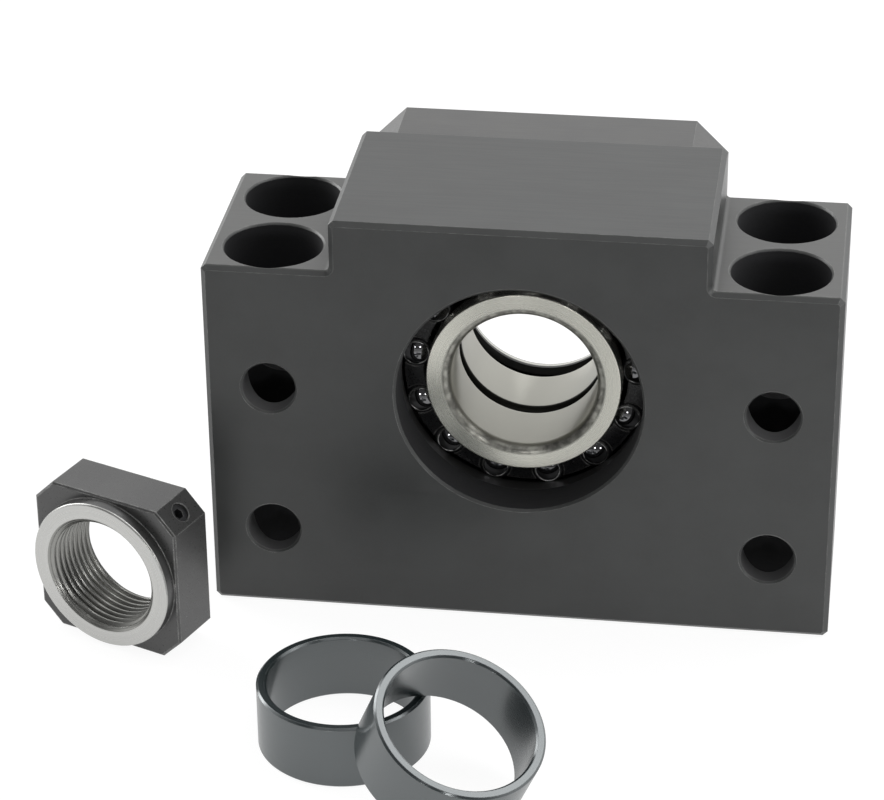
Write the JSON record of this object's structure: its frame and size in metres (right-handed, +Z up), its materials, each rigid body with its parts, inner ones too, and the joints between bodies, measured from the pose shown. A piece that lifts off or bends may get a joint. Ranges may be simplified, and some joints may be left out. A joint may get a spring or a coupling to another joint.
{
  "type": "ball screw end support",
  "caption": "Square steel block holding a face-to-face angular contact bearing pair behind a bolted lid, with its lock nut and two collars lying in front.",
  "frame": {"origin": "centre of the block's base face", "axes": "+X across the block, +Y along the shaft from the open bearing towards the lid, +Z up from the base"},
  "size_m": [0.162, 0.143, 0.089],
  "materials": {
    "block_steel": "black oxide over ground steel, satin",
    "lid_steel": "black oxide, satin",
    "screw_steel": "black oxide",
    "seal_rubber": "matte nitrile rubber",
    "bearing_steel": "ground bearing steel",
    "ball_steel": "polished bearing balls",
    "cage_nylon": "black moulded nylon",
    "nut_steel": "black oxide, bright turned boss and thread",
    "pad_brass": "turned brass",
    "collar_steel": "black oxide over turned steel, semi-gloss"
  },
  "bodies": {
    "block": {"housing": "block_steel", "retaining_lid": "lid_steel", "lid_screws": "screw_steel", "lid_seal": "seal_rubber", "outer_ring_near": "bearing_steel", "outer_ring_far": "bearing_steel", "lock_nut": "nut_steel", "nut_set_screw": "screw_steel", "nut_set_pad": "pad_brass", "collar_flat": "collar_steel", "collar_leaning": "collar_steel"},
    "near_inner_ring": {"inner_ring_near": "bearing_steel"},
    "near_cage": {"cage_near": "cage_nylon", "ball_near_01": "ball_steel", "ball_near_02": "ball_steel", "ball_near_03": "ball_steel", "ball_near_04": "ball_steel", "ball_near_05": "ball_steel", "ball_near_06": "ball_steel", "ball_near_07": "ball_steel", "ball_near_08": "ball_steel", "ball_near_09": "ball_steel", "ball_near_10": "ball_steel", "ball_near_11": "ball_steel", "ball_near_12": "ball_steel", "ball_near_13": "ball_steel"},
    "far_inner_ring": {"inner_ring_far": "bearing_steel"},
    "far_cage": {"cage_far": "cage_nylon", "ball_far_01": "ball_steel", "ball_far_02": "ball_steel", "ball_far_03": "ball_steel", "ball_far_04": "ball_steel", "ball_far_05": "ball_steel", "ball_far_06": "ball_steel", "ball_far_07": "ball_steel", "ball_far_08": "ball_steel", "ball_far_09": "ball_steel", "ball_far_10": "ball_steel", "ball_far_11": "ball_steel", "ball_far_12": "ball_steel", "ball_far_13": "ball_steel"}
  },
  "joints": [
    {"name": "near_ring_spin", "type": "hinge", "parent": "block", "child": "near_inner_ring", "pos_m": [0, -0.0061, 0.051], "axis": [0, 1, 0], "continuous": true},
    {"name": "near_cage_orbit", "type": "hinge", "parent": "block", "child": "near_cage", "pos_m": [0, -0.0061, 0.051], "axis": [0, 1, 0], "continuous": true},
    {"name": "far_ring_spin", "type": "hinge", "parent": "block", "child": "far_inner_ring", "pos_m": [0, 0.0099, 0.051], "axis": [0, 1, 0], "continuous": true},
    {"name": "far_cage_orbit", "type": "hinge", "parent": "block", "child": "far_cage", "pos_m": [0, 0.0099, 0.051], "axis": [0, 1, 0], "continuous": true}
  ],
  "couplings": [
    {"joint": "near_cage_orbit", "follows": "near_ring_spin", "ratio": 0.41034},
    {"joint": "far_cage_orbit", "follows": "far_ring_spin", "ratio": 0.41034}
  ]
}
